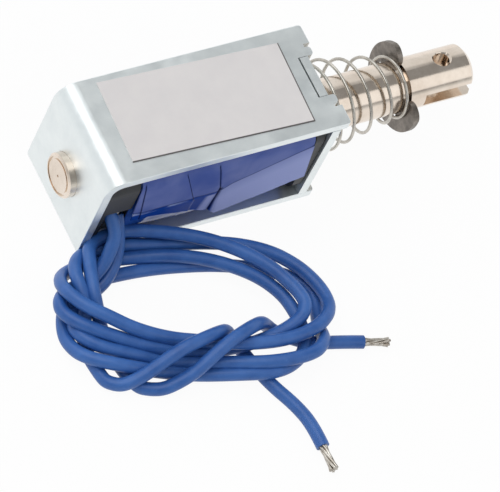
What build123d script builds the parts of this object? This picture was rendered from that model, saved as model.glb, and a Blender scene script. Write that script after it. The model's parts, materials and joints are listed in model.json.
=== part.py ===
from build123d import *
from math import atan2, cos, degrees, pi, radians, sin, sqrt, tan
import os

# Push pull solenoid in millimetres. The origin is the middle of the mounting face under the frame,
# +X runs along the plunger towards its slotted end and +Z is up.

# Yoke: a steel strip bent to a U on its side, closed by a separate end plate
frame_length = 32.0
frame_width = 14.0
frame_height = 16.0
sheet = 1.1
bend_inside_radius = 1.2
plate_thickness = 1.1
plate_setback = 1.1
edge_round = 0.12
panel_corner_round = 0.45

# End plate tabs and the staking that holds them in the notches of the yoke
tab_width = 5.5
tab_clearance = 0.05
notch_gap = 0.2
stake_lug_width = 1.15
stake_nick_width = 0.45
stake_nick_depth = 0.95
stake_lug_round = 0.4
stake_lug_drop = 0.25

# Two tapped holes in the mounting face
screw_margin = 6.0
screw_hole_radius = 1.25

# Bobbin, winding and tape
bobbin_clearance = 0.15
bend_clearance = 0.08
rear_flange = 0.75
lead_chamber = 3.4
partition = 0.4
hood_wall = 0.5
hood_foot = 0.5
hood_width = 4.5
hood_gap = 0.1
front_flange = 1.2
flange_corner = 2.2
flange_side_clearance = 0.35
bobbin_wall = 0.55
winding_gap_above = 0.75
winding_gap_beside = 0.85
winding_corner = 3.6
tape_thickness = 0.35
winding_clearance = 0.03

# Loose end of the last turn of tape, which stands off the near side
flap_thickness = 0.16
flap_length = 11.3
flap_end_margin = 0.25
flap_top_angle = 38.0
flap_lift = 1.15
flap_drop_share = 0.63
flap_gap = 0.02

# Plunger, which reaches out of the end plate, and its travel
plunger_radius = 3.15
plunger_reach = 22.65
stroke = 10.0
closed_gap = 0.2
tip_chamfer = 0.5
foot_chamfer = 0.4
slot_width = 1.8
slot_depth = 6.8
pin_radius = 1.0
pin_from_tip = 3.6
pin_sink = 0.25
pin_roll = 8.0
clip_from_tip = 9.25
groove_radius = 2.5

# Brass sleeve that the plunger runs in
running_clearance = 0.08
sleeve_wall = 0.25
seat_clearance = 0.03
plate_hole_clearance = 0.32

# Fixed core, staked through the rear wall
core_length = 7.9
core_clearance = 0.05
stud_radius = 2.7
stud_height = 1.0
stud_chamfer = 0.2
stud_ring_radius = 2.2
stud_ring_width = 0.3
stud_ring_depth = 0.18
stud_nib = 0.3
stake_clearance = 0.02
core_foot_chamfer = 0.3

# Retaining clip in the plunger's groove, an open E ring
clip_thickness = 0.65
clip_radius = 5.5
clip_fit = 0.05
clip_mouth_half = 2.15
clip_horn_reach = 3.3
clip_horn_round = 1.3
clip_relief_radius = 1.05
clip_relief_place = 3.15
clip_relief_angle = 52.0
clip_open_roll = 114.4

# Conical return spring between the end plate and the clip
spring_wire = 0.4
spring_base_radius = 5.6
spring_top_radius = 3.75
spring_turns = 4.6
spring_seat = 0.05
spring_start_roll = 231.0

# Label on the top panel
label_rear_margin = 4.35
label_front_margin = 4.05
label_side_margin = 1.55
label_thickness = 0.08
label_off_centre = 0.3
label_turn = -2.1

# Lead wires: one diameter of insulation, a splice under each lead and a stripped end
wire_diameter = 1.6
splice_radius = 0.45
splice_length = 0.8
strand_radius = 0.17
strand_length = 3.2
strand_spread = 0.42
strand_count = 7

# The loose coil that both leads lie in, an oval ring on the surface in front of the near side.
# Its centre and the routes below are measured from the frame's near rear corner.
hank_from_corner = (10.2, -10.6)
hank_turn = -16.0
hank_half_length = 17.1
hank_half_width = 9.5
hank_hole_half_length = 10.2
hank_hole_half_width = 4.8
hank_height = 4.9
hank_round = 1.2

# Routes of the leads from the winding into the coil and of the tails out of it, chosen by hand
lead_a_route = [
    (4.55, 1.4, 6.2),
    (4.5, -0.5, 4.3),
    (3.7, -1.6, 3.3),
    (1.9, -3.4, 1.6),
]
lead_b_route = [
    (3.0, 1.5, 7.6),
    (3.5, -0.7, 6.3),
    (2.2, -1.9, 5.0),
    (0.6, -2.7, 2.9),
]
tail_a_route = [
    (22.4, -18.6, 0.85),
    (25.6, -19.3, 0.82),
    (28.6, -20.2, 0.8),
]
tail_b_route = [
    (14.3, -19.2, 0.9),
    (15.3, -22.2, 0.82),
    (16.9, -25.4, 0.8),
    (17.7, -28.4, 0.8),
    (17.6, -31.2, 0.8),
]

# Places that follow from the sizes
frame_rear = -frame_length / 2
frame_front = frame_length / 2
axis_height = frame_height / 2
wall_inside = frame_rear + sheet
plate_front = frame_front - plate_setback
plate_rear = plate_front - plate_thickness
bobbin_rear = wall_inside + bobbin_clearance
bobbin_front = plate_rear - bobbin_clearance
chamber_start = bobbin_rear + rear_flange
partition_start = chamber_start + lead_chamber
winding_start = partition_start + partition
winding_end = bobbin_front - front_flange
flange_half_height = axis_height - sheet - flange_side_clearance
flange_half_width = frame_width / 2 - flange_side_clearance
bend_rise = bend_inside_radius - sqrt(bend_inside_radius**2 - (bend_inside_radius - bobbin_clearance) ** 2)
rear_flange_half_height = axis_height - sheet - bend_rise - bend_clearance
sleeve_inside = plunger_radius + running_clearance
sleeve_outside = sleeve_inside + sleeve_wall
bobbin_bore = sleeve_outside + seat_clearance
bobbin_tube = bobbin_bore + bobbin_wall
core_face = wall_inside + core_length
plunger_foot = core_face + closed_gap + stroke
plunger_tip = plate_front + plunger_reach
clip_middle = plunger_tip - clip_from_tip
clip_rear = clip_middle - clip_thickness / 2
pin_place = plunger_tip - pin_from_tip
winding_half_height = axis_height - sheet - winding_gap_above
winding_half_width = frame_width / 2 - winding_gap_beside
tape_half_height = winding_half_height + tape_thickness
tape_half_width = winding_half_width + tape_thickness
screw_spacing = frame_length - 2 * screw_margin
label_length = frame_length - label_rear_margin - label_front_margin
label_width = frame_width - 2 * label_side_margin
near_rear_corner = Vector(frame_rear, -frame_width / 2, 0)
hank_centre = near_rear_corner + Vector(*hank_from_corner)
flap_end = winding_end - flap_end_margin
wire_radius = wire_diameter / 2
plunger_axis = Axis((0, 0, axis_height), (1, 0, 0))
centred_on_base = (Align.CENTER, Align.CENTER, Align.MIN)


def across(x, roll=0.0):
    """A plane square to the plunger's axis at x, its own X axis rolled from +Y towards +Z."""
    turn = radians(roll)
    return Plane(origin=(x, 0, axis_height), x_dir=(0, cos(turn), sin(turn)), z_dir=(1, 0, 0))


def along():
    """The upright plane through the plunger's axis, for profiles that are turned round it."""
    return Plane(origin=(0, 0, axis_height), x_dir=(1, 0, 0), z_dir=(0, -1, 0))


def save(part, name):
    part.label = name
    export_step(part, f"parts/{name}.step")


os.makedirs("parts", exist_ok=True)

# Yoke frame: side profile with the two bends, then the holes, notches and staking nicks
with BuildPart() as yoke_frame:
    with BuildSketch(Plane.XZ) as outside:
        with Locations((0, axis_height)):
            Rectangle(frame_length, frame_height)
        fillet(outside.vertices().group_by(Axis.X)[0], bend_inside_radius + sheet)
    extrude(amount=frame_width / 2, both=True)
    with BuildSketch(Plane.XZ) as inside:
        with Locations((wall_inside, axis_height)):
            Rectangle(frame_length, frame_height - 2 * sheet, align=(Align.MIN, Align.CENTER))
        fillet(inside.vertices().group_by(Axis.X)[0], bend_inside_radius)
    extrude(amount=frame_width / 2, both=True, mode=Mode.SUBTRACT)
    fillet(yoke_frame.edges().filter_by(Axis.Z).group_by(Axis.X)[-1], panel_corner_round)
    side_edges = yoke_frame.faces().filter_by(Axis.Y).edges().filter_by(lambda e: abs(e.tangent_at(0.5).Z) < 0.99)
    fillet(side_edges, edge_round)
    with BuildSketch(across(frame_rear)):
        Circle(stud_radius + stake_clearance)
    extrude(amount=sheet, mode=Mode.SUBTRACT)
    with BuildSketch(Plane.XY) as front_cuts:
        notch_depth = frame_front - plate_rear + notch_gap
        with Locations((frame_front, 0)):
            Rectangle(2 * notch_depth, tab_width + 2 * tab_clearance)
        lug_edge = tab_width / 2 + tab_clearance + stake_lug_width
        for side in (-1, 1):
            with Locations((frame_front, side * (lug_edge + stake_nick_width / 2))):
                Rectangle(2 * stake_nick_depth, stake_nick_width)
            with Locations((frame_front, side * (lug_edge - stake_lug_width / 2))):
                Rectangle(2 * stake_lug_drop, stake_lug_width)
    extrude(amount=frame_height, mode=Mode.SUBTRACT)
    with BuildSketch(Plane.XY):
        with GridLocations(screw_spacing, 0, 2, 1):
            Circle(screw_hole_radius)
    extrude(amount=sheet, mode=Mode.SUBTRACT)
    lug_front = frame_front - stake_lug_drop
    lug_corners = yoke_frame.edges().filter_by(Axis.Z).filter_by_position(Axis.X, lug_front, lug_front)
    fillet(lug_corners, stake_lug_round)
save(yoke_frame.part, "yoke_frame")

# Front plate: a flat end with a tab through each panel of the yoke
with BuildPart() as front_plate:
    with BuildSketch(across(plate_rear)):
        Rectangle(frame_width, frame_height - 2 * (sheet + tab_clearance))
        Rectangle(tab_width, frame_height)
        Circle(plunger_radius + plate_hole_clearance, mode=Mode.SUBTRACT)
    extrude(amount=plate_thickness)
save(front_plate.part, "front_plate")

# Fixed core: turned in one piece, its end is the staked stud with a ring groove and a centre nib
core_radius = plunger_radius + running_clearance - core_clearance
stud_face = frame_rear - stud_height
with BuildPart() as stop_core:
    with BuildSketch(along()):
        with BuildLine():
            Polyline(
                (stud_face + stud_ring_depth, 0),
                (stud_face + stud_ring_depth, stud_nib / 2),
                (stud_face, stud_nib / 2),
                (stud_face, stud_ring_radius - stud_ring_width / 2),
                (stud_face + stud_ring_depth, stud_ring_radius - stud_ring_width / 2),
                (stud_face + stud_ring_depth, stud_ring_radius + stud_ring_width / 2),
                (stud_face, stud_ring_radius + stud_ring_width / 2),
                (stud_face, stud_radius - stud_chamfer),
                (stud_face + stud_chamfer, stud_radius),
                (wall_inside, stud_radius),
                (wall_inside, core_radius),
                (core_face - core_foot_chamfer, core_radius),
                (core_face, core_radius - core_foot_chamfer),
                (core_face, 0),
                close=True,
            )
        make_face()
    revolve(axis=plunger_axis)
save(stop_core.part, "stop_core")

# Bobbin: tube, end flanges, and a partition and hood that make the chamber for the lead splices
with BuildPart() as bobbin:
    with BuildSketch(across(bobbin_rear)):
        Circle(bobbin_tube)
    extrude(amount=bobbin_front - bobbin_rear)
    with BuildSketch(across(bobbin_rear)):
        RectangleRounded(2 * flange_half_width, 2 * rear_flange_half_height, flange_corner)
    extrude(amount=rear_flange)
    with BuildSketch(across(winding_end)):
        RectangleRounded(2 * flange_half_width, 2 * flange_half_height, flange_corner)
    extrude(amount=front_flange)
    with BuildSketch(across(chamber_start)):
        RectangleRounded(2 * flange_half_width, 2 * rear_flange_half_height, flange_corner)
        under_hood = (2 * (flange_half_width - hood_wall), 2 * (rear_flange_half_height - hood_wall))
        RectangleRounded(*under_hood, flange_corner - hood_wall, mode=Mode.SUBTRACT)
        with Locations((-flange_half_width, hood_foot)):
            Rectangle(hood_width, frame_height, align=(Align.MIN, Align.MIN), mode=Mode.INTERSECT)
    extrude(amount=lead_chamber - hood_gap)
    with BuildSketch(across(partition_start)):
        RectangleRounded(2 * winding_half_width, 2 * winding_half_height, winding_corner)
    extrude(amount=partition)
    with BuildSketch(across(bobbin_rear)):
        Circle(bobbin_bore)
    extrude(amount=bobbin_front - bobbin_rear, mode=Mode.SUBTRACT)
save(bobbin.part, "bobbin")

# Guide sleeve: thin brass tube over the fixed core, in which the plunger slides
with BuildPart() as guide_sleeve:
    with BuildSketch(across(wall_inside + seat_clearance)):
        Circle(sleeve_outside)
        Circle(sleeve_inside, mode=Mode.SUBTRACT)
    extrude(amount=plate_rear - wall_inside - 2 * seat_clearance)
save(guide_sleeve.part, "guide_sleeve")

# Winding: enamelled copper wire as one body between the partition and the front flange
with BuildPart() as coil_winding:
    with BuildSketch(across(winding_start + winding_clearance)):
        RectangleRounded(2 * winding_half_width, 2 * winding_half_height, winding_corner)
        Circle(bobbin_tube + winding_clearance, mode=Mode.SUBTRACT)
    extrude(amount=winding_end - winding_start - 2 * winding_clearance)
save(coil_winding.part, "coil_winding")

# Tape: several turns round the winding
with BuildPart() as tape_wrap:
    with BuildSketch(across(partition_start + winding_clearance)):
        RectangleRounded(2 * tape_half_width, 2 * tape_half_height, winding_corner + tape_thickness)
        inner_width = 2 * (winding_half_width + winding_clearance)
        inner_height = 2 * (winding_half_height + winding_clearance)
        inner_corner = winding_corner + winding_clearance
        RectangleRounded(inner_width, inner_height, inner_corner, mode=Mode.SUBTRACT)
    extrude(amount=winding_end - partition_start - 2 * winding_clearance)
save(tape_wrap.part, "tape_wrap")

# Tape flap: the loose end of the last turn, a thin bowed strip from the near top corner downwards
flap_corner = winding_corner + tape_thickness + flap_gap
root_turn = radians(flap_top_angle)
flap_root = (
    -tape_half_width - flap_gap + flap_corner * (1 - cos(root_turn)),
    tape_half_height + flap_gap - flap_corner * (1 - sin(root_turn)),
)
flap_drop = 2 * flap_drop_share * tape_half_height
flap_free = (-tape_half_width - flap_gap - flap_lift, flap_root[1] - flap_drop)
with BuildPart() as tape_flap:
    with BuildSketch(across(flap_end - flap_length)):
        with BuildLine():
            downwards = (-sin(root_turn), -cos(root_turn))
            inner = TangentArc(flap_root, flap_free, tangent=downwards)
            root_out = Vector(*flap_root) + flap_thickness * Vector(-cos(root_turn), sin(root_turn))
            free_out = Vector(*flap_free) + flap_thickness * Vector((inner % 1).Y, -(inner % 1).X)
            TangentArc(root_out, free_out, tangent=downwards)
            Line(flap_root, root_out)
            Line(flap_free, free_out)
        make_face()
    extrude(amount=flap_length)
save(tape_flap.part, "tape_flap")

# Plunger: ground bar with the clip's groove, and a slotted end drilled across for a link pin
groove_half = clip_thickness / 2 + clip_fit
with BuildPart() as plunger:
    with BuildSketch(along()):
        with BuildLine():
            Polyline(
                (plunger_foot, 0),
                (plunger_foot, plunger_radius - foot_chamfer),
                (plunger_foot + foot_chamfer, plunger_radius),
                (clip_middle - groove_half, plunger_radius),
                (clip_middle - groove_half, groove_radius),
                (clip_middle + groove_half, groove_radius),
                (clip_middle + groove_half, plunger_radius),
                (plunger_tip - tip_chamfer, plunger_radius),
                (plunger_tip, plunger_radius - tip_chamfer),
                (plunger_tip, 0),
                close=True,
            )
        make_face()
    revolve(axis=plunger_axis)
    with BuildSketch(across(plunger_tip, -pin_roll)):
        Rectangle(3 * plunger_radius, slot_width)
    extrude(amount=-slot_depth, mode=Mode.SUBTRACT)
    for side in (1, -1):
        pin_turn = radians(pin_roll)
        outwards = (0, side * sin(pin_turn), side * cos(pin_turn))
        pin_plane = Plane(origin=(pin_place, 0, axis_height), x_dir=(1, 0, 0), z_dir=outwards)
        with BuildSketch(pin_plane):
            Circle(pin_radius)
        extrude(amount=plunger_radius + pin_sink, mode=Mode.SUBTRACT)
        with Locations(pin_plane.offset(plunger_radius - pin_sink)):
            mouth_radius = pin_radius + 2 * pin_sink
            Cone(pin_radius, mouth_radius, 2 * pin_sink, align=centred_on_base, mode=Mode.SUBTRACT)
save(plunger.part, "plunger")

# Retaining clip: open ring whose three prongs bear on the groove
with BuildPart() as e_clip:
    with BuildSketch(across(clip_rear, clip_open_roll)) as clip_outline:
        Circle(clip_radius)
        Circle(groove_radius + clip_fit, mode=Mode.SUBTRACT)
        from_centre = (Align.MIN, Align.CENTER)
        Rectangle(clip_radius, 2 * clip_mouth_half, align=from_centre, mode=Mode.SUBTRACT)
        with Locations((clip_horn_reach, 0)):
            Rectangle(clip_radius, 2 * clip_radius, align=from_centre, mode=Mode.SUBTRACT)
        for relief_turn in (180 - clip_relief_angle, 180 + clip_relief_angle):
            with PolarLocations(clip_relief_place, 1, start_angle=relief_turn):
                Circle(clip_relief_radius, mode=Mode.SUBTRACT)
        fillet(clip_outline.vertices().group_by(Axis.X)[-1], clip_horn_round)
    extrude(amount=clip_thickness)
save(e_clip.part, "e_clip")

# Return spring: conical, wide end on the end plate and narrow end against the clip
spring_start = plate_front + spring_seat + spring_wire / 2
spring_length = clip_rear - spring_seat - spring_wire / 2 - spring_start
spring_cone = atan2(spring_base_radius - spring_top_radius, spring_length)
with BuildPart() as return_spring:
    with BuildLine():
        helix = Helix(
            pitch=spring_length / spring_turns / cos(spring_cone),
            height=spring_length / cos(spring_cone),
            radius=spring_base_radius,
            cone_angle=-degrees(spring_cone),
        )
    with BuildSketch(Plane(origin=helix @ 0, z_dir=helix % 0)):
        Circle(spring_wire / 2)
    sweep(is_frenet=True)
return_spring.part.locate(across(spring_start, spring_start_roll).location)
save(return_spring.part, "return_spring")

# Label: thin film on the top panel, laid on slightly out of line
with BuildPart() as label:
    with BuildSketch(Plane.XY.offset(frame_height)):
        with Locations((frame_rear + label_rear_margin + label_length / 2, label_off_centre)):
            Rectangle(label_length, label_width, rotation=label_turn)
    extrude(amount=label_thickness)
save(label.part, "label")


def placed(route):
    """A wire's route, moved to the frame's near rear corner."""
    return [near_rear_corner + Vector(*point) for point in route]


def corner_radii(route):
    """The largest tangent arc at each inner point of a wire's route."""
    radii = []
    for before, here, after in zip(route, route[1:], route[2:]):
        run_in = here - before
        run_out = after - here
        half_turn = radians(run_in.get_angle(run_out)) / 2
        radii.append(0.45 * min(run_in.length, run_out.length) / tan(half_turn))
    return radii


def wire(route, name):
    """A lead or tail: round insulation swept along straight runs joined by tangent arcs."""
    points = placed(route)
    radii = corner_radii(points)
    with BuildPart() as insulation:
        with BuildLine():
            path = FilletPolyline(*points, radius=radii)
        with BuildSketch(Plane(origin=path @ 0, z_dir=path % 0)):
            Circle(wire_radius)
        sweep()
    share = insulation.part.volume / (pi * wire_radius**2 * path.length)
    print(name, "length", round(path.length, 2), "radii", [round(r, 1) for r in radii])
    print(name, "volume over section times length", round(share, 4))
    save(insulation.part, name)
    return path


def splice(path, name):
    """The soldered joint between a lead and the winding, hidden in the bobbin's chamber."""
    with BuildPart() as joint:
        with BuildSketch(Plane(origin=path @ 0, z_dir=path % 0)):
            Circle(splice_radius)
        extrude(amount=-splice_length)
    save(joint.part, name)


def strands(path, name):
    """The stripped end: tinned copper strands that stand out of the insulation."""
    with BuildPart() as bare_end:
        with BuildSketch(Plane(origin=path @ 1, z_dir=path % 1)):
            Circle(strand_radius)
            with PolarLocations(strand_spread, strand_count - 1):
                Circle(strand_radius)
        extrude(amount=strand_length)
    save(bare_end.part, name)


for letter, lead, tail in (("a", lead_a_route, tail_a_route), ("b", lead_b_route, tail_b_route)):
    splice(wire(lead, f"wire_{letter}_lead"), f"lead_splice_{letter}")
    strands(wire(tail, f"wire_{letter}_tail"), f"wire_{letter}_strands")

# Loose coil of both leads: the outer shape of its turns as one oval ring
with BuildPart() as wire_coil:
    long_way = (cos(radians(hank_turn)), sin(radians(hank_turn)), 0)
    with BuildSketch(Plane(origin=hank_centre, x_dir=long_way)):
        Ellipse(hank_half_length, hank_half_width)
        Ellipse(hank_hole_half_length, hank_hole_half_width, mode=Mode.SUBTRACT)
    extrude(amount=hank_height)
    fillet(wire_coil.edges(), hank_round)
save(wire_coil.part, "wire_coil")
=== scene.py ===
import bpy
import bmesh
import json
from math import cos, pi, radians, sin
from mathutils import Matrix, Vector, noise


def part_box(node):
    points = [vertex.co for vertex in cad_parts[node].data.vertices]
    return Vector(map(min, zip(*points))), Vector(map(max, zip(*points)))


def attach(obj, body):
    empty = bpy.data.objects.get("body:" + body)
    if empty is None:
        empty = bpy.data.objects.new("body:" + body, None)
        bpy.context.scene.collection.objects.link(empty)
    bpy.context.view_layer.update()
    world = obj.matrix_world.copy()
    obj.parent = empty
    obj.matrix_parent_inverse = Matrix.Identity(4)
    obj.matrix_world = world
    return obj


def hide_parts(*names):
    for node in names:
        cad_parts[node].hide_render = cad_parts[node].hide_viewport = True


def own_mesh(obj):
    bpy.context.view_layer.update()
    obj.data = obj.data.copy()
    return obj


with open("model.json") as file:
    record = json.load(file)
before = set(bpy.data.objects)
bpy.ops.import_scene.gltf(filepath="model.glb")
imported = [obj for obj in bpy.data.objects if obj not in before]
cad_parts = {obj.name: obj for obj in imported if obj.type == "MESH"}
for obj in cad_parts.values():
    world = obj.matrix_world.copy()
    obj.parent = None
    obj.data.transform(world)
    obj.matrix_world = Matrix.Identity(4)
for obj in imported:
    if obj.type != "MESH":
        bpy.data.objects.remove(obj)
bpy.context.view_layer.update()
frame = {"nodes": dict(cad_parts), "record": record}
nodes = frame["nodes"]
mm = 0.001

# The frame's sides, read from the model, and the plunger's axis
yokeLow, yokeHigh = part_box("yoke_frame")
axisHeight = (yokeLow.z + yokeHigh.z) / 2
nearRearCorner = Vector((yokeLow.x, yokeLow.y, 0))


# Camera, fitted to the corners of the frame in the photo
cameraSettings = {
    "place": (-0.2568, -0.2262, 0.4719),
    "right": (0.8595, -0.4247, 0.2844),
    "back": (-0.4514, -0.3699, 0.8120),
    "lens": 360.0,
    "sensor": 36.0,
    "near": 0.01,
    "far": 20.0,
}


def makeCamera(s):
    data = bpy.data.cameras.new("camera")
    data.lens = s["lens"]
    data.sensor_width = s["sensor"]
    data.sensor_fit = "HORIZONTAL"
    data.clip_start = s["near"]
    data.clip_end = s["far"]
    back = Vector(s["back"]).normalized()
    right = Vector(s["right"])
    right = (right - back * right.dot(back)).normalized()
    turn = Matrix((right, back.cross(right), back)).transposed().to_4x4()
    camera = bpy.data.objects.new("camera", data)
    camera.matrix_world = Matrix.Translation(Vector(s["place"])) @ turn
    bpy.context.scene.collection.objects.link(camera)
    bpy.context.scene.camera = camera


makeCamera(cameraSettings)
bpy.context.scene.view_settings.view_transform = "Standard"
print("camera set")


# Node helpers for the procedural materials
def newMaterial(name):
    material = bpy.data.materials.new(name)
    material.use_nodes = True
    tree = material.node_tree
    return material, tree, tree.nodes["Principled BSDF"]


def addNode(tree, kind, **values):
    node = tree.nodes.new(kind)
    for key, value in values.items():
        setattr(node, key, value)
    return node


def setInputs(node, **values):
    for key, value in values.items():
        node.inputs[key.replace("_", " ")].default_value = value


def placed(tree, scale=(1, 1, 1), turn=(0, 0, 0)):
    coords = addNode(tree, "ShaderNodeTexCoord")
    mapping = addNode(tree, "ShaderNodeMapping")
    setInputs(mapping, Scale=scale, Rotation=turn)
    tree.links.new(coords.outputs["Object"], mapping.inputs["Vector"])
    return mapping.outputs["Vector"]


# A noise field. In the settings it is a row: scale, detail and, where they differ, roughness and distortion
def noiseField(tree, vector, scale, detail, rough=0.55, distortion=0.0):
    node = addNode(tree, "ShaderNodeTexNoise")
    setInputs(node, Scale=scale, Detail=detail, Roughness=rough, Distortion=distortion)
    tree.links.new(vector, node.inputs["Vector"])
    return node.outputs["Fac"]


def span(tree, value, low, high, fromLow=0.0, fromHigh=1.0):
    node = addNode(tree, "ShaderNodeMapRange")
    setInputs(node, From_Min=fromLow, From_Max=fromHigh, To_Min=low, To_Max=high)
    tree.links.new(value, node.inputs["Value"])
    return node.outputs["Result"]


def maths(tree, operation, *values):
    node = addNode(tree, "ShaderNodeMath", operation=operation)
    for socket, value in zip(node.inputs, values):
        if isinstance(value, float):
            socket.default_value = value
        else:
            tree.links.new(value, socket)
    return node.outputs[0]


def added(tree, first, second):
    return maths(tree, "ADD", first, second)


def product(tree, first, second):
    return maths(tree, "MULTIPLY", first, second)


def mixed(tree, amount, first, second):
    node = addNode(tree, "ShaderNodeMix", data_type="RGBA")
    tree.links.new(amount, node.inputs["Factor"])
    for socket, colour in (("A", first), ("B", second)):
        side = [i for i in node.inputs if i.name == socket and i.type == "RGBA"][0]
        if isinstance(colour, tuple):
            side.default_value = (*colour, 1.0)
        else:
            tree.links.new(colour, side)
    return [o for o in node.outputs if o.type == "RGBA"][0]


def linear(red, green, blue):
    out = []
    for value in (red, green, blue):
        value /= 255
        out.append(value / 12.92 if value <= 0.04045 else ((value + 0.055) / 1.055) ** 2.4)
    return tuple(out)


# The end of every finish: colour, roughness and relief are linked, constants are set on the sockets.
# The relief adds up fields, each with its share from "heights"; its depth is in metres.
def dress(tree, shader, colour, roughness, fields, s):
    tree.links.new(colour, shader.inputs["Base Color"])
    tree.links.new(roughness, shader.inputs["Roughness"])
    setInputs(shader, **s.get("constants", {}))
    total = None
    for field, share in zip(fields, s["heights"]):
        height = product(tree, field, share)
        total = height if total is None else added(tree, total, height)
    relief = addNode(tree, "ShaderNodeBump")
    setInputs(relief, Strength=s["strength"], Distance=s.get("depth", 0.00005))
    tree.links.new(total, relief.inputs["Height"])
    tree.links.new(relief.outputs["Normal"], shader.inputs["Normal"])


# The part of a noise field's range that is spread from one colour or roughness to the other
core = (0.3, 0.7)


# Zinc-plated steel strip: pale blue-grey, satin, with faint rolling lines and handling marks
zincSettings = {
    "pale": linear(238, 243, 243),
    "deep": linear(228, 234, 235),
    "mottle": (420.0, 6.0, 0.6),
    "lines": (2600.0, 3.0),
    "rolled": (0.06, 1.0, 1.0),
    "marks": (90.0, 8.0, 0.7, 1.5),
    "rough": (0.33, 0.4),
    "markRough": (-0.05, 0.07),
    "markCore": (0.35, 0.65),
    "constants": {"Metallic": 0.85},
    "heights": (0.25, 0.3, 0.35),
    "strength": 0.12,
}


def zincSteel(s):
    material, tree, shader = newMaterial("zinc_steel_dressed")
    even = placed(tree)
    mottle = noiseField(tree, even, *s["mottle"])
    lines = noiseField(tree, placed(tree, scale=s["rolled"]), *s["lines"])
    marks = noiseField(tree, even, *s["marks"])
    colour = mixed(tree, span(tree, mottle, 0.0, 1.0, *core), s["deep"], s["pale"])
    handled = span(tree, marks, *s["markRough"], *s["markCore"])
    roughness = added(tree, span(tree, mottle, *s["rough"], *core), handled)
    dress(tree, shader, colour, roughness, (lines, mottle, marks), s)
    return material


# Nickel-plated turned steel: bright, with fine rings round the axis
nickelSettings = {
    "pale": linear(238, 226, 213),
    "deep": linear(212, 197, 182),
    "rings": (5200.0, 3.0),
    "turned": (1.0, 0.04, 0.04),
    "stain": (260.0, 6.0, 0.65),
    "rough": (0.1, 0.2),
    "constants": {"Metallic": 1.0},
    "heights": (0.5, 0.25),
    "strength": 0.16,
}


def nickelSteel(s):
    material, tree, shader = newMaterial("nickel_steel_dressed")
    rings = noiseField(tree, placed(tree, scale=s["turned"]), *s["rings"])
    stain = noiseField(tree, placed(tree), *s["stain"])
    colour = mixed(tree, span(tree, stain, 0.0, 1.0, *core), s["deep"], s["pale"])
    dress(tree, shader, colour, span(tree, stain, *s["rough"], *core), (rings, stain), s)
    return material


# Black moulded nylon of the bobbin
nylonSettings = {
    "dark": linear(30, 31, 33),
    "pale": linear(52, 53, 55),
    "grain": (3800.0, 4.0),
    "flow": (240.0, 3.0),
    "rough": (0.38, 0.55),
    "heights": (1.0, 0.5),
    "strength": 0.2,
}


def blackNylon(s):
    material, tree, shader = newMaterial("black_nylon_dressed")
    even = placed(tree)
    grain = noiseField(tree, even, *s["grain"])
    flow = noiseField(tree, even, *s["flow"])
    colour = mixed(tree, span(tree, flow, 0.0, 1.0, *core), s["dark"], s["pale"])
    dress(tree, shader, colour, span(tree, flow, *s["rough"]), (grain, flow), s)
    return material


# Glossy blue film tape: smooth, with soft dents and hair-fine stretch lines
tapeSettings = {
    "deep": linear(24, 62, 146),
    "mid": linear(42, 88, 172),
    "stretch": (1500.0, 3.0),
    "drawn": (1.0, 0.12, 0.12),
    "slant": (0.0, 0.3, 0.2),
    "clouds": (160.0, 3.0, 0.5, 0.4),
    "cloudCore": (0.35, 0.65),
    "dents": (420.0, 2.0, 0.5),
    "rough": (0.12, 0.2),
    "constants": {"Coat_Weight": 0.35, "Coat_Roughness": 0.05, "Specular_IOR_Level": 0.5},
    "heights": (1.0, 1.6, 0.04),
    "strength": 0.3,
    "depth": 0.00012,
}


def blueTape(s):
    material, tree, shader = newMaterial("blue_tape_dressed")
    even = placed(tree)
    lines = noiseField(tree, placed(tree, scale=s["drawn"], turn=s["slant"]), *s["stretch"])
    clouds = noiseField(tree, even, *s["clouds"])
    dents = noiseField(tree, even, *s["dents"])
    colour = mixed(tree, span(tree, clouds, 0.0, 1.0, *s["cloudCore"]), s["deep"], s["mid"])
    dress(tree, shader, colour, span(tree, clouds, *s["rough"], *core), (dents, clouds, lines), s)
    return material


# The outer turn's own finish, with painted reflections and painted shade. Above the ridge it shows a
# painted slate-blue reflection. Below it the film keeps its deep blue at the rear, where it is tucked in,
# with a painted glint under the ridge and no painted reflection, and shows a painted pale reflection where
# it flares at the front; the turn is where one gives way to the other. Painted shade follows the ridge's
# crease. Places are along X and up Z, in mm, and depths are below the ridge. Each line is the width of a
# painted shade line along a seam or fold and its top and bottom; the reflection patch is a painted pale
# reflection of the same kind.
tapeEndSettings = {
    "upper": linear(110, 124, 183),
    "paleReflection": linear(164, 174, 223),
    "tuck": linear(14, 62, 150),
    "glint": linear(158, 174, 216),
    "paintedShade": linear(10, 20, 64),
    "ridge": ((1.0, 8.0), (12.3, 12.4)),
    "turn": (0.55, 0.95),
    "flareDepth": 1.8,
    "flareShade": 0.5,
    "glintDepth": (0.3, 0.6),
    "glintEnd": (-5.5, -3.0),
    "glintCore": (0.42, 0.55),
    "glintShare": 0.9,
    "foldDepth": (-0.12, 0.0, 0.02, 0.14),
    "foldShadeShare": 0.7,
    "blend": 0.12,
    "lineFade": 0.3,
    "lineShare": 0.9,
    "lines": [
        (0.07, (-10.1, 13.0), (-9.4, 6.4)),
        (0.06, (-4.66, 13.0), (-2.5, 7.6)),
        (0.07, (-0.38, 13.0), (0.95, 8.05)),
        (0.2, (1.0, 8.4), (0.3, 4.2)),
    ],
    "reflectionPatch": (0.6, (-0.1, 7.4), (-0.6, 4.6)),
    "patchShare": 0.85,
    "clouds": (170.0, 3.0, 0.5, 0.5),
    "cloudCore": (0.4, 0.7),
    "cloudShare": 0.5,
    "smears": (700.0, 3.0),
    "drawn": (0.35, 1.0, 1.0),
    "rough": (0.14, 0.24),
    "constants": {"Specular_IOR_Level": 0.02},
    "heights": (1.0, 0.08),
    "strength": 0.2,
    "depth": 0.0001,
}


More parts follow.
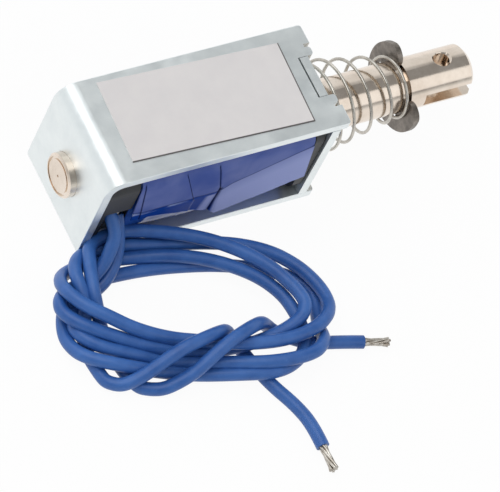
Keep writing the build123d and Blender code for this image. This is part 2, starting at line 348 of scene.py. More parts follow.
# How much of a slanting line, drawn from its top to its bottom, shows at a place
def stripe(tree, x, z, width, top, bottom, fade):
    middle = span(tree, z, bottom[0], top[0], bottom[1], top[1])
    away = maths(tree, "ABSOLUTE", added(tree, x, product(tree, middle, -1.0)))
    across = span(tree, away, 1.0, 0.0, 0.5 * width, 1.5 * width)
    above = span(tree, z, 0.0, 1.0, bottom[1] - fade, bottom[1])
    beneath = span(tree, z, 1.0, 0.0, top[1], top[1] + fade)
    return product(tree, across, product(tree, above, beneath))


def tapeEndFinish(s):
    material, tree, shader = newMaterial("blue_tape_end_painted_light")
    parts = addNode(tree, "ShaderNodeSeparateXYZ")
    tree.links.new(placed(tree, scale=(1 / mm, 1 / mm, 1 / mm)), parts.inputs["Vector"])
    x, z = parts.outputs["X"], parts.outputs["Z"]
    (rearX, rearZ), (frontX, frontZ) = s["ridge"]
    below = added(tree, span(tree, x, rearZ, frontZ, rearX, frontX), product(tree, z, -1.0))
    clouds = noiseField(tree, placed(tree), *s["clouds"])
    smears = noiseField(tree, placed(tree, scale=s["drawn"]), *s["smears"])
    # Painted glint: a pale streak just under the ridge at the rear, broken up by the smear noise
    nearRidge = span(tree, below, 1.0, 0.0, *s["glintDepth"])
    streak = product(tree, nearRidge, span(tree, x, 1.0, 0.0, *s["glintEnd"]))
    glint = product(tree, span(tree, smears, 0.0, s["glintShare"], *s["glintCore"]), streak)
    tuck = mixed(tree, glint, s["tuck"], s["glint"])
    # Painted reflection patch: a pale slanting stripe of the painted pale reflection
    reflectionPatch = product(tree, stripe(tree, x, z, *s["reflectionPatch"], s["lineFade"]), s["patchShare"])
    tuck = mixed(tree, reflectionPatch, tuck, s["paleReflection"])
    # Painted pale reflection below the ridge at the front, fading half-way into the painted slate-blue
    # reflection near the ridge
    shade = span(tree, below, s["flareShade"], 0.0, 0.0, s["flareDepth"])
    paleReflection = mixed(tree, shade, s["paleReflection"], s["upper"])
    lower = mixed(tree, span(tree, x, 0.0, 1.0, *s["turn"]), tuck, paleReflection)
    # Painted slate-blue reflection above the ridge, mottled a little towards the deep blue
    upper = mixed(tree, span(tree, clouds, 0.0, s["cloudShare"], *s["cloudCore"]), s["upper"], s["tuck"])
    colour = mixed(tree, span(tree, below, 0.0, 1.0, 0.0, s["blend"]), upper, lower)
    # Painted shade along the crease of the ridge
    start, full, fading, end = s["foldDepth"]
    creaseShade = span(tree, below, 0.0, s["foldShadeShare"], start, full)
    creaseShade = product(tree, creaseShade, span(tree, below, 1.0, 0.0, fading, end))
    colour = mixed(tree, creaseShade, colour, s["paintedShade"])
    # Painted shade lines along the seams and the fold
    for line in s["lines"]:
        drawn = product(tree, stripe(tree, x, z, *line, s["lineFade"]), s["lineShare"])
        colour = mixed(tree, drawn, colour, s["paintedShade"])
    dress(tree, shader, colour, span(tree, clouds, *s["rough"], *core), (clouds, smears), s)
    return material


# Blank film label: satin, with faint fibres and a painted shadow line along its near and front edges. The
# label is turned on the yoke by some degrees. The shadow line's width is in mm; it is full over the sharp
# share of its width and fades out over the rest.
labelSettings = {
    "pale": linear(221, 217, 216),
    "deep": linear(216, 212, 212),
    "edge": linear(84, 80, 80),
    "edgeShadowWidth": 0.16,
    "edgeShadowSharp": 0.7,
    "turn": -2.1,
    "mottle": (320.0, 6.0, 0.65),
    "threads": (3000.0, 4.0),
    "drawn": (0.4, 1.0, 1.0),
    "slant": (0.0, 0.0, 0.5),
    "rough": (0.36, 0.5),
    "heights": (0.5, 0.8),
    "strength": 0.1,
}


def labelFilm(s):
    material, tree, shader = newMaterial("label_film_dressed")
    mottle = noiseField(tree, placed(tree), *s["mottle"])
    threads = noiseField(tree, placed(tree, scale=s["drawn"], turn=s["slant"]), *s["threads"])
    film = mixed(tree, span(tree, mottle, 0.0, 1.0, *core), s["deep"], s["pale"])
    turn = radians(-s["turn"])
    parts = addNode(tree, "ShaderNodeSeparateXYZ")
    tree.links.new(placed(tree, turn=(0.0, 0.0, turn)), parts.inputs["Vector"])
    # Half sizes of the turned label, worked out from the box round it
    low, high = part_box("label")
    lean = abs(turn)
    long, wide = high.x - low.x, high.y - low.y
    halfLong = (long * cos(lean) - wide * sin(lean)) / cos(2 * lean) / 2
    halfWide = (wide * cos(lean) - long * sin(lean)) / cos(2 * lean) / 2
    centre = Matrix.Rotation(turn, 3, "Z") @ ((low + high) / 2)
    # Painted shadow line along the label's near and front edges
    width, sharp = s["edgeShadowWidth"] * mm, s["edgeShadowSharp"] * s["edgeShadowWidth"] * mm
    nearEdge, frontEdge = centre.y - halfWide, centre.x + halfLong
    near = span(tree, parts.outputs["Y"], 1.0, 0.0, nearEdge + sharp, nearEdge + width)
    front = span(tree, parts.outputs["X"], 0.0, 1.0, frontEdge - width, frontEdge - sharp)
    colour = mixed(tree, front, mixed(tree, near, film, s["edge"]), s["edge"])
    dress(tree, shader, colour, span(tree, mottle, *s["rough"], *core), (threads, mottle), s)
    return material


# Blue PVC insulation: soft sheen, faint draw lines and scuffs
insulationSettings = {
    "deep": linear(42, 88, 158),
    "mid": linear(64, 112, 184),
    "dusty": linear(104, 146, 204),
    "clouds": (260.0, 5.0, 0.6),
    "dust": (1900.0, 6.0, 0.75),
    "dustCore": (0.6, 0.8),
    "dustShare": 0.4,
    "grain": (5200.0, 2.0),
    "rough": (0.34, 0.46),
    "constants": {"Specular_IOR_Level": 0.45},
    "heights": (0.4, 0.6, 0.6),
    "strength": 0.2,
}


def blueInsulation(s):
    material, tree, shader = newMaterial("blue_insulation_dressed")
    even = placed(tree)
    clouds = noiseField(tree, even, *s["clouds"])
    dust = noiseField(tree, even, *s["dust"])
    grain = noiseField(tree, even, *s["grain"])
    base = mixed(tree, span(tree, clouds, 0.0, 1.0, *core), s["deep"], s["mid"])
    colour = mixed(tree, span(tree, dust, 0.0, s["dustShare"], *s["dustCore"]), base, s["dusty"])
    dress(tree, shader, colour, span(tree, clouds, *s["rough"], *core), (grain, dust, clouds), s)
    return material


# Clip, spring, bare strands, solder, sleeve and winding share one recipe: worn patches over a fine grain
metalSettings = {
    "clip_steel": {
        "pale": linear(150, 142, 134), "deep": linear(104, 98, 92), "rough": (0.32, 0.5),
        "patchCore": (0.35, 0.68), "patches": (900.0, 7.0, 0.65), "grain": (6000.0, 3.0),
        "constants": {"Metallic": 0.9}, "heights": (0.3, 0.5), "strength": 0.22,
    },
    "spring_steel": {
        "pale": linear(210, 205, 196), "deep": linear(168, 163, 155), "rough": (0.2, 0.34),
        "patches": (700.0, 5.0), "grain": (7000.0, 2.0), "heights": (1.0,), "strength": 0.12,
    },
    "tinned_copper": {"pale": linear(226, 222, 214), "deep": linear(150, 140, 128), "rough": (0.22, 0.36)},
    "solder": {"pale": linear(205, 205, 208), "deep": linear(150, 150, 156), "rough": (0.25, 0.4)},
    "brass_tube": {"pale": linear(214, 182, 112), "deep": linear(170, 134, 70), "rough": (0.2, 0.32)},
    "copper_wire": {"pale": linear(196, 116, 70), "deep": linear(142, 70, 38), "rough": (0.28, 0.4)},
}
sharedMetal = {
    "patchCore": core,
    "patches": (1400.0, 5.0),
    "grain": (8000.0, 2.0),
    "constants": {"Metallic": 1.0},
    "heights": (0.6, 0.4),
    "strength": 0.15,
}


def wornMetal(name, s):
    material, tree, shader = newMaterial(name + "_dressed")
    even = placed(tree)
    patches = noiseField(tree, even, *s["patches"])
    grain = noiseField(tree, even, *s["grain"])
    colour = mixed(tree, span(tree, patches, 0.0, 1.0, *s["patchCore"]), s["deep"], s["pale"])
    dress(tree, shader, colour, span(tree, patches, *s["rough"]), (grain, patches), s)
    return material


finishes = {
    "blue_tape_end": tapeEndFinish(tapeEndSettings),
    "zinc_steel": zincSteel(zincSettings),
    "nickel_steel": nickelSteel(nickelSettings),
    "black_nylon": blackNylon(nylonSettings),
    "blue_tape": blueTape(tapeSettings),
    "label_paper": labelFilm(labelSettings),
    "blue_insulation": blueInsulation(insulationSettings),
}
for metalName, ownSettings in metalSettings.items():
    finishes[metalName] = wornMetal(metalName, {**sharedMetal, **ownSettings})


# Each CAD node gets the finish of its slot
def dressNodes():
    for part in frame["record"]["subparts"]:
        node = nodes[part["node"]]
        node.data.materials.clear()
        node.data.materials.append(finishes[part["material_slot"]])


dressNodes()
print("finishes given to", len(nodes), "nodes")


# A piece of the scene, linked and riding on its body. It has its slot's finish unless it brings its own.
def newPiece(name, data, slot, body, finish=None):
    piece = bpy.data.objects.new(name, data)
    bpy.context.scene.collection.objects.link(piece)
    data.materials.append(finishes[finish or slot])
    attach(piece, body)
    return piece


def meshFrom(name, points, faces, smooth=True):
    mesh = bpy.data.meshes.new(name)
    mesh.from_pydata([tuple(p) for p in points], [], faces)
    mesh.update()
    if smooth:
        mesh.polygons.foreach_set("use_smooth", [True] * len(mesh.polygons))
    return mesh


def clamped(share):
    return min(max(share, 0.0), 1.0)


# A round tube along a line of points, closed at both ends
def tubeMesh(name, line, radius, sides=12):
    points, faces = [], []
    side = None
    for i, here in enumerate(line):
        ahead = (line[min(i + 1, len(line) - 1)] - line[max(i - 1, 0)]).normalized()
        if side is None:
            side = ahead.orthogonal().normalized()
        side = (side - ahead * side.dot(ahead)).normalized()
        other = ahead.cross(side)
        for k in range(sides):
            turn = 2 * pi * k / sides
            points.append(here + radius * (cos(turn) * side + sin(turn) * other))
    for i in range(len(line) - 1):
        for k in range(sides):
            a, b = i * sides + k, i * sides + (k + 1) % sides
            faces.append((a, b, b + sides, a + sides))
    faces.append(tuple(reversed(range(sides))))
    faces.append(tuple(range((len(line) - 1) * sides, len(line) * sides)))
    return meshFrom(name, points, faces)


# Return spring: conical wire with a closed turn at each end, its turns leaning a little.
# Each row is the turn in degrees from the +Y side towards +Z, the place along X and the radius, in mm.
springShape = {
    "rows": [
        (-560, 15.12, 5.42),
        (-450, 15.2, 5.42),
        (-335.6, 16.9, 5.38),
        (-155.6, 17.9, 5.22),
        (24.4, 18.95, 5.38),
        (204.4, 19.95, 4.82),
        (384.4, 21.5, 4.88),
        (564.4, 22.65, 4.32),
        (744.4, 24.45, 4.4),
        (924.4, 25.75, 3.86),
        (1104.4, 27.35, 3.82),
        (1284.4, 27.7, 3.68),
        (1400, 27.74, 3.66),
    ],
    "wire": 0.4,
    "steps": 40,
}


# A smooth curve through rows of numbers, read at a value of their first column
def eased(rows, at):
    rows = [rows[0]] + rows + [rows[-1]]
    for i in range(1, len(rows) - 2):
        if at <= rows[i + 1][0]:
            break
    before, start, end, after = rows[i - 1], rows[i], rows[i + 1], rows[i + 2]
    width = end[0] - start[0]
    t = clamped((at - start[0]) / width)
    out = []
    for k in range(1, len(start)):
        slopeIn = (end[k] - before[k]) / (end[0] - before[0]) * width
        slopeOut = (after[k] - start[k]) / (after[0] - start[0]) * width
        a = 2 * t**3 - 3 * t**2 + 1
        b = t**3 - 2 * t**2 + t
        c = -2 * t**3 + 3 * t**2
        d = t**3 - t**2
        out.append(a * start[k] + b * slopeIn + c * end[k] + d * slopeOut)
    return out


def makeSpring(s):
    rows = s["rows"]
    first, last = rows[0][0], rows[-1][0]
    count = int((last - first) / 360 * s["steps"])
    line = []
    for i in range(count + 1):
        at = first + (last - first) * i / count
        along, radius = eased(rows, at)
        turn = radians(at)
        line.append(Vector((along * mm, radius * mm * cos(turn), axisHeight + radius * mm * sin(turn))))
    mesh = tubeMesh("springWire", line, s["wire"] / 2 * mm)
    spring = newPiece("springWire", mesh, "spring_steel", "housing")
    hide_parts("return_spring")
    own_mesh(spring)


makeSpring(springShape)
print("spring made")


# Tape round the winding: a rounded square sleeve with wound edges, a fuller middle and soft wrinkles.
# Each edge is one width of tape: where it starts and ends along X, how far it stands up, and the lean of
# its edges, in mm. It rises over a short way and fades out over a longer one.
tapeShape = {
    "rings": 150,
    "steps": 176,
    "corner": 2.4,
    "thickness": 0.45,
    "fullness": 0.25,
    "wrinkle": 0.05,
    "wrinkleAlong": 0.34,
    "wrinkleAround": 0.5,
    "finer": 2.7,
    "offset": Vector((3, 1, 7)),
    "edges": [
        (-9.77, -7.9, 0.05, 0.12),
        (-4.06, -0.6, 0.06, -0.16),
        (1.48, 4.6, 0.05, 0.12),
        (7.2, 9.9, 0.05, -0.1),
    ],
    "edgeRise": 0.12,
    "edgeFade": 0.9,
    "waver": 0.15,
    "waverSize": 0.6,
}


def roundedSquare(share, half, corner):
    straight = 2 * (half - corner)
    arc = pi / 2 * corner
    around = share * 4 * (straight + arc)
    quarter, rest = divmod(around, straight + arc)
    if rest < straight:
        y, z = -half, -straight / 2 + rest
        normal = (-1.0, 0.0)
    else:
        turn = (rest - straight) / corner
        y, z = -half + corner - corner * cos(turn), straight / 2 + corner * sin(turn)
        normal = (-cos(turn), sin(turn))
    turn = -quarter * pi / 2
    y, z = y * cos(turn) - z * sin(turn), y * sin(turn) + z * cos(turn)
    normal = (normal[0] * cos(turn) - normal[1] * sin(turn), normal[0] * sin(turn) + normal[1] * cos(turn))
    return y, z, normal


def tapeSwell(s, x, y, z, share):
    swell = s["fullness"] * (sin(pi * share) ** 0.5 - 1.0)
    place = Vector((x * s["wrinkleAlong"], y * s["wrinkleAround"], z * s["wrinkleAround"]))
    swell += s["wrinkle"] * (noise.noise(place) + 0.5 * noise.noise(place * s["finer"] + s["offset"]))
    for start, end, step, lean in s["edges"]:
        shift = lean * z + s["waver"] * noise.noise(Vector((start, y, z)) * s["waverSize"])
        risen = clamped((x - start - shift) / s["edgeRise"])
        swell += step * risen * clamped((end + shift - x) / s["edgeFade"])
    return swell


def makeTape(s):
    low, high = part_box("tape_wrap")
    half = (high.y - low.y) / 2 / mm
    xLow, xHigh = low.x / mm, high.x / mm
    axis = Vector((0, 0, axisHeight))
    rings, steps = s["rings"], s["steps"]
    points, faces = [], []
    for i in range(rings + 1):
        share = i / rings
        x = xLow + (xHigh - xLow) * share
        for k in range(steps):
            y, z, normal = roundedSquare(k / steps, half, s["corner"])
            swell = tapeSwell(s, x, y, z, share)
            points.append(Vector((x, y + swell * normal[0], z + swell * normal[1])) * mm + axis)
    for i in range(rings):
        for k in range(steps):
            a, b = i * steps + k, i * steps + (k + 1) % steps
            faces.append((a, b, b + steps, a + steps))
    inner = len(points)
    for x in (xLow, xHigh):
        for k in range(steps):
            y, z, normal = roundedSquare(k / steps, half - s["thickness"], s["corner"] - s["thickness"])
            points.append(Vector((x, y, z)) * mm + axis)
    last = rings * steps
    for k in range(steps):
        n = (k + 1) % steps
        faces.append((inner + k, inner + n, n, k))
        faces.append((last + k, last + n, inner + steps + n, inner + steps + k))
        faces.append((inner + n, inner + k, inner + steps + k, inner + steps + n))
    tape = newPiece("tapeSleeve", meshFrom("tapeSleeve", points, faces), "blue_tape", "housing")
    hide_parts("tape_wrap")


makeTape(tapeShape)


# Outer turn of the tape on the lead side. Its crown is drawn tight over the top corner, it folds at a
# ridge and ends in a loose lower edge. Each row is a place along X, then Y and Z of the ridge and Y and Z
# of the lower edge; the crown's points are Y and Z, all in mm. Seams are steps where one width of tape
# lies over the next: the step and its two ends, along X and up Z. A fold is a groove: its depth, half
# width and two ends. The wrinkle is its height and its pace along X and Z, the ripple of the loose edge
# its height, its pace along X and the share of the line where it starts.
flapShape = {
    "rows": [
        (-10.55, -7.15, 7.6, -7.2, 6.6),
        (-8.0, -7.22, 7.83, -7.14, 6.36),
        (-2.3, -7.22, 7.78, -7.16, 5.1),
        (0.2, -7.15, 7.95, -7.3, 4.3),
        (1.1, -7.0, 8.05, -7.5, 3.7),
        (2.4, -6.92, 8.2, -7.6, 4.0),
        (7.0, -6.9, 10.0, -7.75, 5.6),
        (12.3, -6.85, 12.4, -7.7, 6.95),
    ],
    "crown": [(-2.6, 14.62), (-4.1, 14.68), (-5.12, 14.52), (-6.0, 13.98), (-6.58, 13.1), (-6.74, 12.4)],
    "thickness": 0.1,
    "columns": 230,
    "facetRows": 16,
    "foldHalf": 0.1,
    "seams": [
        (0.07, (-10.1, 13.0), (-9.4, 6.4)),
        (-0.07, (-4.66, 13.0), (-2.5, 7.6)),
        (0.09, (-0.38, 13.0), (0.95, 8.05)),
    ],
    "seamRise": 0.07,
    "seamReach": 1.9,
    "seamFade": 1.6,
    "folds": [(0.2, 0.3, (1.0, 8.4), (0.3, 4.2))],
    "wrinkle": (0.05, 0.35, 0.4),
    "ripple": (0.1, 0.9, 0.7),
}


def between(rows, at):
    for start, end in zip(rows, rows[1:]):
        if at <= end[0]:
            break
    share = clamped((at - start[0]) / (end[0] - start[0]))
    return [a + (b - a) * share for a, b in zip(start[1:], end[1:])]


def lineAt(top, bottom, z):
    return top[0] + (bottom[0] - top[0]) * clamped((top[1] - z) / (top[1] - bottom[1]))


def flapLine(s, x):
    ridgeY, ridgeZ, edgeY, edgeZ = between(s["rows"], x)
    ridge, edge = Vector((ridgeY, ridgeZ)), Vector((edgeY, edgeZ))
    line = [Vector(p) for p in s["crown"]]
    top = line[-1]
    down, out = (ridge - top).normalized(), (edge - ridge).normalized()
    before, after = ridge - s["foldHalf"] * down, ridge + s["foldHalf"] * out
    count = s["facetRows"]
    line += [top.lerp(before, (i + 1) / count) for i in range(count)]
    line.append((before + after + 2 * ridge) / 4)
    line += [after.lerp(edge, i / count) for i in range(count + 1)]
    return line


# How far the film stands out at a place: over its seams, less its fold, and with its wrinkles
def flapSwell(s, x, z, share):
    swell = 0.0
    for step, top, bottom in s["seams"]:
        past = x - lineAt(top, bottom, z)
        swell += step * clamped(past / s["seamRise"]) * clamped((s["seamReach"] - past) / s["seamFade"])
    for amount, width, top, bottom in s["folds"]:
        if z < top[1]:
            swell -= amount * max(1.0 - abs(x - lineAt(top, bottom, z)) / width, 0.0)
    height, paceX, paceZ = s["wrinkle"]
    return swell + height * noise.noise(Vector((x * paceX, 2.0, z * paceZ))) * share


def makeFlap(s):
    xLow, xHigh = s["rows"][0][0], s["rows"][-1][0]
    columns = s["columns"]
    height, pace, loose = s["ripple"]
    points, faces = [], []
    for inner in (0, 1):
        for i in range(columns + 1):
            x = xLow + (xHigh - xLow) * i / columns
            line = flapLine(s, x)
            for k, (y, z) in enumerate(line):
                share = k / (len(line) - 1)
                out = flapSwell(s, x, z, share) - inner * s["thickness"]
                looseness = max(share - loose, 0.0) / (1 - loose)
                drop = height * noise.noise(Vector((x * pace, 5.0, 0.0))) * looseness
                points.append(Vector((x, y - out, z + drop)) * mm)
    rows = len(flapLine(s, xLow))
    sheet = (columns + 1) * rows
    for i in range(columns):
        for k in range(rows - 1):
            a = i * rows + k
            faces.append((a, a + 1, a + rows + 1, a + rows))
            faces.append((sheet + a, sheet + a + rows, sheet + a + rows + 1, sheet + a + 1))
        for edge in (0, rows - 1):
            a, b = i * rows + edge, (i + 1) * rows + edge
            faces.append((a, b, sheet + b, sheet + a) if edge else (b, a, sheet + a, sheet + b))
    for k in range(rows - 1):
        for column in (0, columns):
            a, b = column * rows + k, column * rows + k + 1
            faces.append((b, a, sheet + a, sheet + b) if column else (a, b, sheet + b, sheet + a))
    mesh = meshFrom("tapeEnd", points, faces)
    flap = newPiece("tapeEnd", mesh, "blue_tape", "housing", finish="blue_tape_end")
    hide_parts("tape_flap")


makeFlap(flapShape)
print("tape made")


# Lead wires. Routes are measured from the frame's near rear corner, in mm, as in the part's source.
leadRoutes = {
    "a": [(4.55, 1.4, 6.2), (4.5, -0.5, 4.3), (3.9, -2.1, 3.2), (2.7, -3.6, 2.3)],
    "b": [(3.0, 1.5, 7.6), (3.6, -0.7, 6.3), (2.7, -2.0, 4.8), (1.6, -3.1, 3.5)],
}
tailRoutes = {
    "a": [(22.4, -18.6, 0.85), (25.6, -19.3, 0.82), (28.6, -20.2, 0.8)],
    "b": [
        (14.3, -19.2, 0.9), (15.3, -22.2, 0.82), (16.9, -25.4, 0.8), (17.7, -28.4, 0.8), (17.6, -31.2, 0.8),
    ],
}

# The loose turns: an oval seen from above, its centre from the same corner. Each row is a station of a
# wire: its turn in degrees, how far out it lies as a share of the oval, and its height in mm.
hankShape = {
    "centre": (10.2, -10.6),
    "halfLong": 14.0,
    "halfWide": 7.0,
    "turn": -16.0,
    "step": 15.0,
    "wire": 1.6,
    "a": [
        (147, 0.87, 1.5), (158, 0.9, 1.0), (168, 0.94, 0.8), (180, 1.0, 0.8), (190, 1.06, 1.4),
        (200, 1.13, 2.1), (210, 1.18, 2.4), (225, 1.15, 2.4), (240, 1.04, 2.0), (255, 1.02, 1.2),
        (270, 1.04, 1.7), (285, 1.14, 2.7), (300, 1.34, 3.6), (315, 1.4, 3.9), (325, 1.29, 3.1),
        (335, 1.17, 2.0), (345, 1.11, 1.2), (360, 1.1, 0.8), (390, 1.17, 0.8), (420, 1.0, 0.8),
        (450, 0.87, 0.8), (480, 0.88, 0.8), (495, 0.94, 0.8), (505, 1.01, 0.8), (515, 1.08, 1.0),
        (525, 1.12, 1.9), (535, 1.16, 2.5), (545, 1.18, 2.8), (555, 1.16, 3.4), (570, 1.05, 3.3),
        (585, 0.94, 2.9), (600, 0.9, 2.6), (615, 0.86, 2.1), (630, 0.83, 1.8), (660, 0.84, 2.3),
        (690, 0.92, 3.4), (705, 0.95, 4.0), (720, 0.91, 4.0), (735, 0.87, 4.0), (750, 0.87, 4.0),
        (780, 0.98, 4.0), (810, 1.23, 3.8), (825, 1.38, 3.4), (840, 1.5, 3.4), (855, 1.22, 3.9),
        (870, 1.01, 4.0), (885, 0.92, 4.0), (900, 0.86, 3.4), (915, 0.86, 2.0), (930, 0.91, 0.9),
        (945, 1.04, 0.8), (957, 1.27, 0.8), (967, 1.5, 0.8),
    ],
    "b": [
        (147, 0.98, 2.5), (158, 0.99, 2.3), (168, 1.04, 1.3), (180, 1.1, 0.8), (195, 1.16, 0.8),
        (210, 1.27, 1.0), (222, 1.38, 2.1), (232, 1.37, 2.6), (242, 1.3, 2.4), (255, 1.21, 1.2),
        (270, 1.22, 1.2), (285, 1.32, 2.2), (300, 1.43, 2.4), (315, 1.24, 2.2), (330, 1.06, 2.2),
        (345, 0.9, 2.4), (360, 0.83, 2.4), (375, 0.8, 2.4), (390, 0.79, 2.4), (420, 0.83, 2.4),
        (450, 0.93, 2.4), (465, 1.01, 2.0), (480, 1.13, 1.1), (495, 1.27, 0.8), (508, 1.26, 1.1),
        (518, 1.21, 2.5), (530, 1.15, 4.1), (541, 1.09, 4.6), (552, 1.0, 4.7), (570, 0.86, 4.5),
        (585, 0.83, 4.1), (600, 0.76, 3.5), (615, 0.73, 3.1), (630, 0.75, 3.3), (645, 0.85, 3.7),
        (660, 0.98, 4.0), (675, 1.07, 4.0), (690, 1.13, 4.0), (705, 1.15, 3.5), (720, 1.17, 2.6),
        (735, 1.17, 2.4), (750, 1.19, 2.4), (780, 1.27, 2.4), (810, 1.21, 2.0), (825, 1.24, 1.6),
        (837, 1.33, 1.95), (852, 1.34, 2.1), (862, 1.25, 3.2), (872, 1.13, 3.9), (885, 1.04, 4.0),
        (900, 0.94, 3.1), (915, 0.98, 1.7), (930, 1.13, 0.8), (941, 1.25, 0.8), (948, 1.36, 0.8),
        (954, 1.47, 0.8),
    ],
}
# The wraps that hold the turns together, over the bundle and back under it
wrapRoutes = {
    "a": [
        (1.05, -18.5, 0.9), (2.5, -19.1, 1.3), (4.3, -19.1, 2.1), (6.2, -18.9, 3.1), (8.2, -18.2, 4.2),
        (10.5, -17.4, 5.1), (12.6, -16.8, 5.3), (14.9, -16.0, 4.6), (16.6, -15.3, 3.1), (17.7, -15.1, 1.7),
        (18.7, -15.8, 0.8), (20.3, -17.2, 0.8),
    ],
    "b": [
        (-3.5, -16.2, 1.0), (-2.4, -17.2, 1.4), (-1.2, -17.4, 1.9), (0.5, -17.3, 2.6), (2.7, -16.9, 3.8),
        (5.2, -16.4, 4.9), (8.0, -16.1, 5.1), (10.4, -15.6, 4.5), (12.3, -14.9, 2.8), (13.2, -15.4, 1.0),
        (13.9, -17.2, 0.8),
    ],
}


def hankPoints(s, rows):
    centre = Vector((*s["centre"], 0.0))
    turn = radians(s["turn"])
    longWay = Vector((cos(turn), sin(turn), 0.0))
    wideWay = Vector((-sin(turn), cos(turn), 0.0))
    points = []
    first, last = rows[0][0], rows[-1][0]
    count = round((last - first) / s["step"])
    for i in range(count + 1):
        station = first + (last - first) * i / count
        reach, height = eased(rows, station)
        at = radians(station)
        flat = centre + reach * (s["halfLong"] * cos(at) * longWay + s["halfWide"] * sin(at) * wideWay)
        points.append(Vector((flat.x, flat.y, height)))
    return points


def makeWire(letter, s):
    route = [Vector(p) for p in leadRoutes[letter]]
    route += hankPoints(s, s[letter])
    route += [Vector(p) for p in wrapRoutes[letter] + tailRoutes[letter]]
    route = [nearRearCorner + p * mm for p in route]
    curve = bpy.data.curves.new("wire" + letter.upper(), "CURVE")
    curve.dimensions = "3D"
    curve.bevel_depth = s["wire"] / 2 * mm
    curve.bevel_resolution = 6
    curve.use_fill_caps = True
    curve.resolution_u = 10
    spline = curve.splines.new("NURBS")
    spline.points.add(len(route) - 1)
    for point, place in zip(spline.points, route):
        point.co = (*place, 1.0)
    spline.order_u = 3
    spline.use_endpoint_u = True
    wire = newPiece("wire" + letter.upper(), curve, "blue_insulation", "housing")
    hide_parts(f"wire_{letter}_lead", "wire_coil", f"wire_{letter}_tail")
    return wire, route


def lineOf(wire):
    bare = wire.data.copy()
    bare.bevel_depth = 0
    holder = bpy.data.objects.new("bareLine", bare)
    mesh = bpy.data.meshes.new_from_object(holder)
    line = [v.co.copy() for v in mesh.vertices]
    bpy.data.objects.remove(holder)
    bpy.data.meshes.remove(mesh)
    bpy.data.curves.remove(bare)
    return line


# Bare ends: seven tinned strands with a slight lay, a little frayed at the tip. Lengths are in mm, the
# lay in degrees; the waist and the uneven ends are shares of the spread and of the length.
strandShape = {
    "count": 7,
    "steps": 18,
    "radius": 0.17,
    "length": 3.2,
    "sunk": 0.5,
    "uneven": 0.05,
    "spread": 0.4,
    "waist": 0.25,
    "lay": 150.0,
    "fray": 0.28,
    "frayFrom": 0.6,
}


def makeStrands(letter, line, s):
    end = line[-1]
    ahead = (line[-1] - line[-3]).normalized()
    side = ahead.cross(Vector((0, 0, 1))).normalized()
    up = side.cross(ahead)
    whole = bmesh.new()
    for k in range(s["count"]):
        fray = s["fray"] * (0.4 + 0.6 * ((k * 5) % 7) / 7)
        length = (s["length"] + s["sunk"]) * (1 - s["uneven"] * ((k * 3) % 5) / 5)
        strand = []
        for i in range(s["steps"] + 1):
            share = i / s["steps"]
            spread = s["spread"] * (1 - s["waist"] * sin(pi * share))
            spread += fray * max(share - s["frayFrom"], 0.0) ** 1.5
            if k == 0:
                spread = 0.0  # the middle strand runs straight
            turn = radians(s["lay"] * share) + 2 * pi * k / (s["count"] - 1)
            reach = length * share - s["sunk"]
            strand.append(end + mm * (reach * ahead + spread * (cos(turn) * side + sin(turn) * up)))
        piece = tubeMesh("strand", strand, s["radius"] * mm, sides=8)
        whole.from_mesh(piece)
        bpy.data.meshes.remove(piece)
    mesh = bpy.data.meshes.new("strands" + letter.upper())
    whole.to_mesh(mesh)
    whole.free()
    mesh.polygons.foreach_set("use_smooth", [True] * len(mesh.polygons))
    strands = newPiece("strands" + letter.upper(), mesh, "tinned_copper", "housing")
    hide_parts(f"wire_{letter}_strands")
    return strands


for letter in ("a", "b"):
    wire, route = makeWire(letter, hankShape)
    line = lineOf(wire)
    strands = makeStrands(letter, line, strandShape)


# Floor and light: a pale floor that keeps the shadow, nearly white to the camera, under soft studio
# light. The world is white to the camera too; what the metal mirrors is bright low down and darker
# towards the ceiling, and the shade is spread over the given part of the way there.
stageSettings = {
    "floor": 1.5,
    "floorColour": (0.86, 0.86, 0.86),
    "floorRough": 0.7,
    "floorShine": 0.2,
    "whiteShare": 0.95,
    "glossShare": 1.0,
    "sky": (0.97, 0.99, 1.0),
    "ceiling": (0.0, -0.4, 1.0),
    "bright": 0.9,
    "dark": 0.32,
    "shade": (0.38, 0.6),
}
white = (1.0, 1.0, 1.0, 1.0)


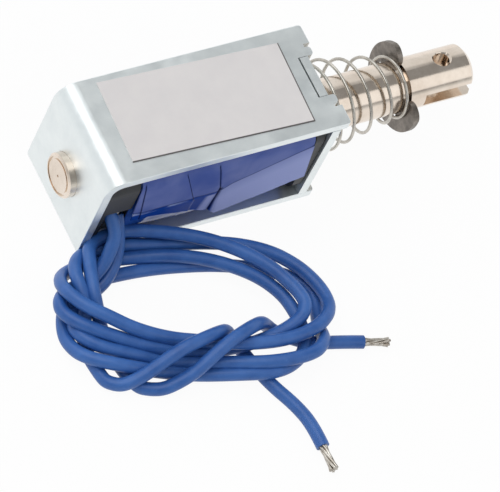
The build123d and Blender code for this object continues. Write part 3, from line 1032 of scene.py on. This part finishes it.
def makeFloor(s):
    size = s["floor"]
    corners = [Vector((x * size, y * size, 0)) for x, y in ((-1, -1), (1, -1), (1, 1), (-1, 1))]
    mesh = meshFrom("floor", corners, [(0, 1, 2, 3)], smooth=False)
    floor = bpy.data.objects.new("floor", mesh)
    bpy.context.scene.collection.objects.link(floor)
    material, tree, shader = newMaterial("floor_finish")
    setInputs(shader, Base_Color=(*s["floorColour"], 1.0))
    setInputs(shader, Roughness=s["floorRough"], Specular_IOR_Level=s["floorShine"])
    paths = addNode(tree, "ShaderNodeLightPath")
    glow = addNode(tree, "ShaderNodeEmission")
    setInputs(glow, Color=white, Strength=1.0)
    toCamera = product(tree, paths.outputs["Is Camera Ray"], s["whiteShare"])
    toGloss = product(tree, paths.outputs["Is Glossy Ray"], s["glossShare"])
    mix = addNode(tree, "ShaderNodeMixShader")
    tree.links.new(added(tree, toCamera, toGloss), mix.inputs["Fac"])
    tree.links.new(shader.outputs["BSDF"], mix.inputs[1])
    tree.links.new(glow.outputs["Emission"], mix.inputs[2])
    tree.links.new(mix.outputs["Shader"], tree.nodes["Material Output"].inputs["Surface"])
    mesh.materials.append(material)


def makeStudio(s):
    world = bpy.data.worlds.new("studio")
    bpy.context.scene.world = world
    world.use_nodes = True
    tree = world.node_tree
    mirrored = tree.nodes["Background"]
    setInputs(mirrored, Color=(*s["sky"], 1.0))
    coords = addNode(tree, "ShaderNodeTexCoord")
    facing = addNode(tree, "ShaderNodeVectorMath", operation="DOT_PRODUCT")
    tree.links.new(coords.outputs["Generated"], facing.inputs[0])
    facing.inputs[1].default_value = s["ceiling"]
    strength = span(tree, facing.outputs["Value"], s["bright"], s["dark"], *s["shade"])
    tree.links.new(strength, mirrored.inputs["Strength"])
    seen = addNode(tree, "ShaderNodeBackground")
    setInputs(seen, Color=white, Strength=1.0)
    paths = addNode(tree, "ShaderNodeLightPath")
    mix = addNode(tree, "ShaderNodeMixShader")
    tree.links.new(paths.outputs["Is Camera Ray"], mix.inputs["Fac"])
    tree.links.new(mirrored.outputs["Background"], mix.inputs[1])
    tree.links.new(seen.outputs["Background"], mix.inputs[2])
    tree.links.new(mix.outputs["Shader"], tree.nodes["World Output"].inputs["Surface"])


lampSettings = [
    {"name": "keyLamp", "place": (-0.16, 0.06, 0.58), "size": 0.5, "power": 1.55},
    {"name": "fillLamp", "place": (0.25, -0.45, 0.4), "size": 0.5, "power": 0.65},
    {"name": "topLamp", "place": (-0.12, 0.5, 0.42), "size": 0.45, "power": 0.5},
]
lampAim = Vector((0.0, -0.005, 0.006))


def makeLamps(lamps):
    for s in lamps:
        data = bpy.data.lights.new(s["name"], "AREA")
        data.shape = "SQUARE"
        data.size = s["size"]
        data.energy = s["power"]
        lamp = bpy.data.objects.new(s["name"], data)
        lamp.location = s["place"]
        lamp.rotation_euler = (lampAim - Vector(s["place"])).to_track_quat("-Z", "Y").to_euler()
        bpy.context.scene.collection.objects.link(lamp)


makeFloor(stageSettings)
makeStudio(stageSettings)
makeLamps(lampSettings)
print("stage and lamps set")
